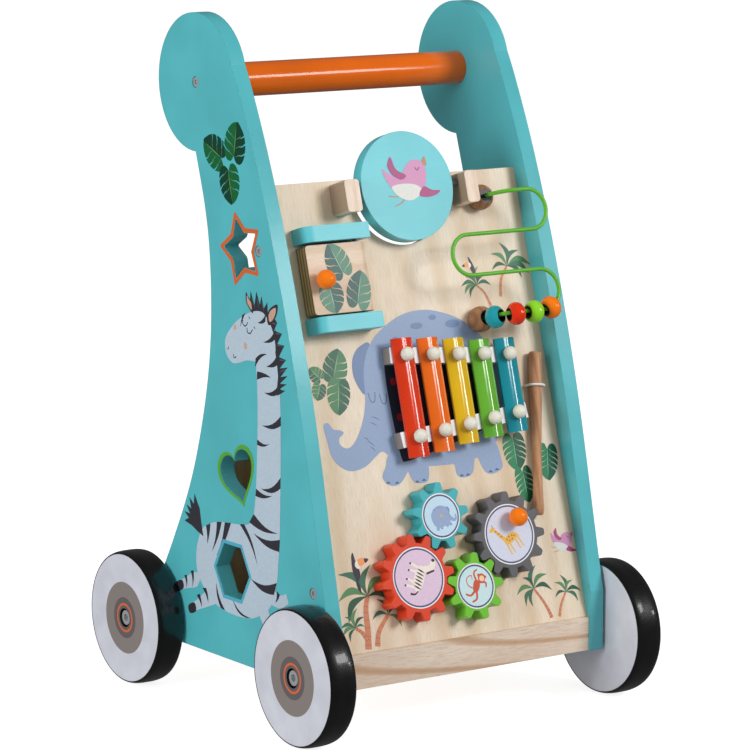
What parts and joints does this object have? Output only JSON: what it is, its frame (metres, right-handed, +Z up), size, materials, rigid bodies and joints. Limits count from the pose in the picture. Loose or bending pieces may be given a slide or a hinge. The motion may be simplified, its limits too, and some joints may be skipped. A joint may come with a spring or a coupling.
{
  "type": "baby walker",
  "caption": "Wooden push-along baby walker with an activity panel: spinning disc, hinged door, bead maze, xylophone with mallet and meshing gears, on rubber-tyred wheels.",
  "frame": {"origin": "on the floor under the middle of the walker, midway between the four wheels", "axes": "+X across the walker to the side without shape holes, +Y to the rear where the handle is, -Y to the activity panel at the front, +Z up"},
  "size_m": [0.2916, 0.3256, 0.5036],
  "materials": {
    "teal_paint": "satin lacquer on wood board",
    "orange_paint": "gloss lacquer on wood",
    "white_paint": "satin lacquer on wood",
    "wheel_paint": "printed lacquer on wood",
    "light_ply": "birch plywood, clear matt lacquer",
    "pine": "clear matt lacquer",
    "brown_wood": "turned and waxed",
    "red_paint": "gloss lacquer on wood",
    "green_paint": "gloss lacquer",
    "blue_green_paint": "gloss lacquer on wood",
    "grey_paint": "satin lacquer on wood",
    "red_enamel": "gloss enamel",
    "orange_enamel": "gloss enamel",
    "yellow_enamel": "gloss enamel",
    "green_enamel": "gloss enamel",
    "teal_enamel": "gloss enamel",
    "wire_enamel": "plastic dipped steel wire",
    "steel": "zinc plated",
    "cream_plastic": "moulded",
    "black_plastic": "moulded",
    "white_elastic": "round braided elastic",
    "black_rubber": "smooth moulded"
  },
  "bodies": {
    "frame": {"side_panel_left": "teal_paint", "side_panel_right": "teal_paint", "front_panel": "light_ply", "back_panel": "light_ply", "base_board": "light_ply", "front_rail": "pine", "rear_rail": "pine", "handle_bar": "orange_paint", "handle_screws": "steel", "panel_screws": "steel", "disc_block_left": "pine", "disc_block_right": "pine", "door_rail_top": "teal_paint", "door_rail_bottom": "teal_paint", "door_pins": "steel", "maze_base_upper": "brown_wood", "maze_base_lower": "brown_wood", "maze_plugs": "black_plastic", "maze_wire": "wire_enamel", "xylo_rail_top": "white_paint", "xylo_rail_bottom": "white_paint", "tone_bar_red": "red_enamel", "tone_bar_orange": "orange_enamel", "tone_bar_yellow": "yellow_enamel", "tone_bar_green": "green_enamel", "tone_bar_teal": "teal_enamel", "tone_bar_pins": "cream_plastic", "mallet_loop": "white_elastic", "gear_pins": "steel", "wheel_bolts": "steel", "wheel_washers": "steel"},
    "spinner": {"spinner_disc": "teal_paint", "disc_axle": "steel"},
    "door_leaf": {"door": "light_ply", "door_knob": "orange_paint"},
    "orange_bead": {"bead_orange": "orange_paint", "liner_orange": "black_plastic"},
    "lime_bead": {"bead_lime": "green_paint", "liner_lime": "black_plastic"},
    "red_bead": {"bead_red": "red_paint", "liner_red": "black_plastic"},
    "teal_bead": {"bead_teal": "blue_green_paint", "liner_teal": "black_plastic"},
    "mallet_stick": {"mallet": "brown_wood"},
    "grey_gear": {"gear_grey": "grey_paint", "gear_crank_knob": "orange_paint"},
    "green_gear": {"gear_green": "green_paint"},
    "red_gear": {"gear_red": "red_paint"},
    "teal_gear": {"gear_teal": "blue_green_paint"},
    "front_left_wheel": {"wheel_front_left": "wheel_paint", "tyre_front_left": "black_rubber"},
    "front_right_wheel": {"wheel_front_right": "wheel_paint", "tyre_front_right": "black_rubber"},
    "rear_left_wheel": {"wheel_rear_left": "wheel_paint", "tyre_rear_left": "black_rubber"},
    "rear_right_wheel": {"wheel_rear_right": "wheel_paint", "tyre_rear_right": "black_rubber"}
  },
  "joints": [
    {"name": "front_left_wheel_spin", "type": "hinge", "parent": "frame", "child": "front_left_wheel", "pos_m": [-0.1351, -0.1128, 0.05], "axis": [1, 0, 0], "continuous": true},
    {"name": "front_right_wheel_spin", "type": "hinge", "parent": "frame", "child": "front_right_wheel", "pos_m": [0.1351, -0.1128, 0.05], "axis": [1, 0, 0], "continuous": true},
    {"name": "rear_left_wheel_spin", "type": "hinge", "parent": "frame", "child": "rear_left_wheel", "pos_m": [-0.1351, 0.1128, 0.05], "axis": [1, 0, 0], "continuous": true},
    {"name": "rear_right_wheel_spin", "type": "hinge", "parent": "frame", "child": "rear_right_wheel", "pos_m": [0.1351, 0.1128, 0.05], "axis": [1, 0, 0], "continuous": true},
    {"name": "disc_spin", "type": "hinge", "parent": "frame", "child": "spinner", "pos_m": [0.0028, -0.03682, 0.37761], "axis": [1, 0, 0], "continuous": true},
    {"name": "door_swing", "type": "hinge", "parent": "frame", "child": "door_leaf", "pos_m": [-0.0465, -0.05305, 0.31771], "axis": [0, 0.277, 0.9609], "range_deg": [0, 120]},
    {"name": "grey_gear_spin", "type": "hinge", "parent": "frame", "child": "grey_gear", "pos_m": [0.04275, -0.10763, 0.12837], "axis": [0, -0.9609, 0.277], "continuous": true},
    {"name": "green_gear_spin", "type": "hinge", "parent": "frame", "child": "green_gear", "pos_m": [0.006, -0.11682, 0.09647], "axis": [0, -0.9609, 0.277], "continuous": true},
    {"name": "red_gear_spin", "type": "hinge", "parent": "frame", "child": "red_gear", "pos_m": [-0.042, -0.11347, 0.1081], "axis": [0, -0.9609, 0.277], "continuous": true},
    {"name": "teal_gear_spin", "type": "hinge", "parent": "frame", "child": "teal_gear", "pos_m": [-0.0144, -0.10209, 0.14759], "axis": [0, -0.9609, 0.277], "continuous": true},
    {"name": "orange_bead_loop", "type": "hinge", "parent": "frame", "child": "orange_bead", "pos_m": [0.094, -0.08363, 0.30134], "axis": [0, -0.9609, 0.277], "range_deg": [0, 125]},
    {"name": "lime_bead_spin", "type": "hinge", "parent": "frame", "child": "lime_bead", "pos_m": [0.083, -0.08805, 0.28601], "axis": [1, 0, 0], "continuous": true},
    {"name": "red_bead_spin", "type": "hinge", "parent": "frame", "child": "red_bead", "pos_m": [0.0669, -0.08766, 0.2859], "axis": [0.9781, -0.1998, 0.0576], "continuous": true},
    {"name": "teal_bead_spin", "type": "hinge", "parent": "frame", "child": "teal_bead", "pos_m": [0.05505, -0.07839, 0.28323], "axis": [0.342, -0.9029, 0.2603], "continuous": true},
    {"name": "mallet_lift", "type": "slide", "parent": "frame", "child": "mallet_stick", "axis": [0.1719, 0.2729, 0.9466], "range_m": [0, 0.038]}
  ],
  "couplings": [
    {"joint": "green_gear_spin", "follows": "grey_gear_spin", "ratio": -1.3333},
    {"joint": "red_gear_spin", "follows": "grey_gear_spin", "ratio": 1},
    {"joint": "teal_gear_spin", "follows": "grey_gear_spin", "ratio": -1.3333}
  ]
}
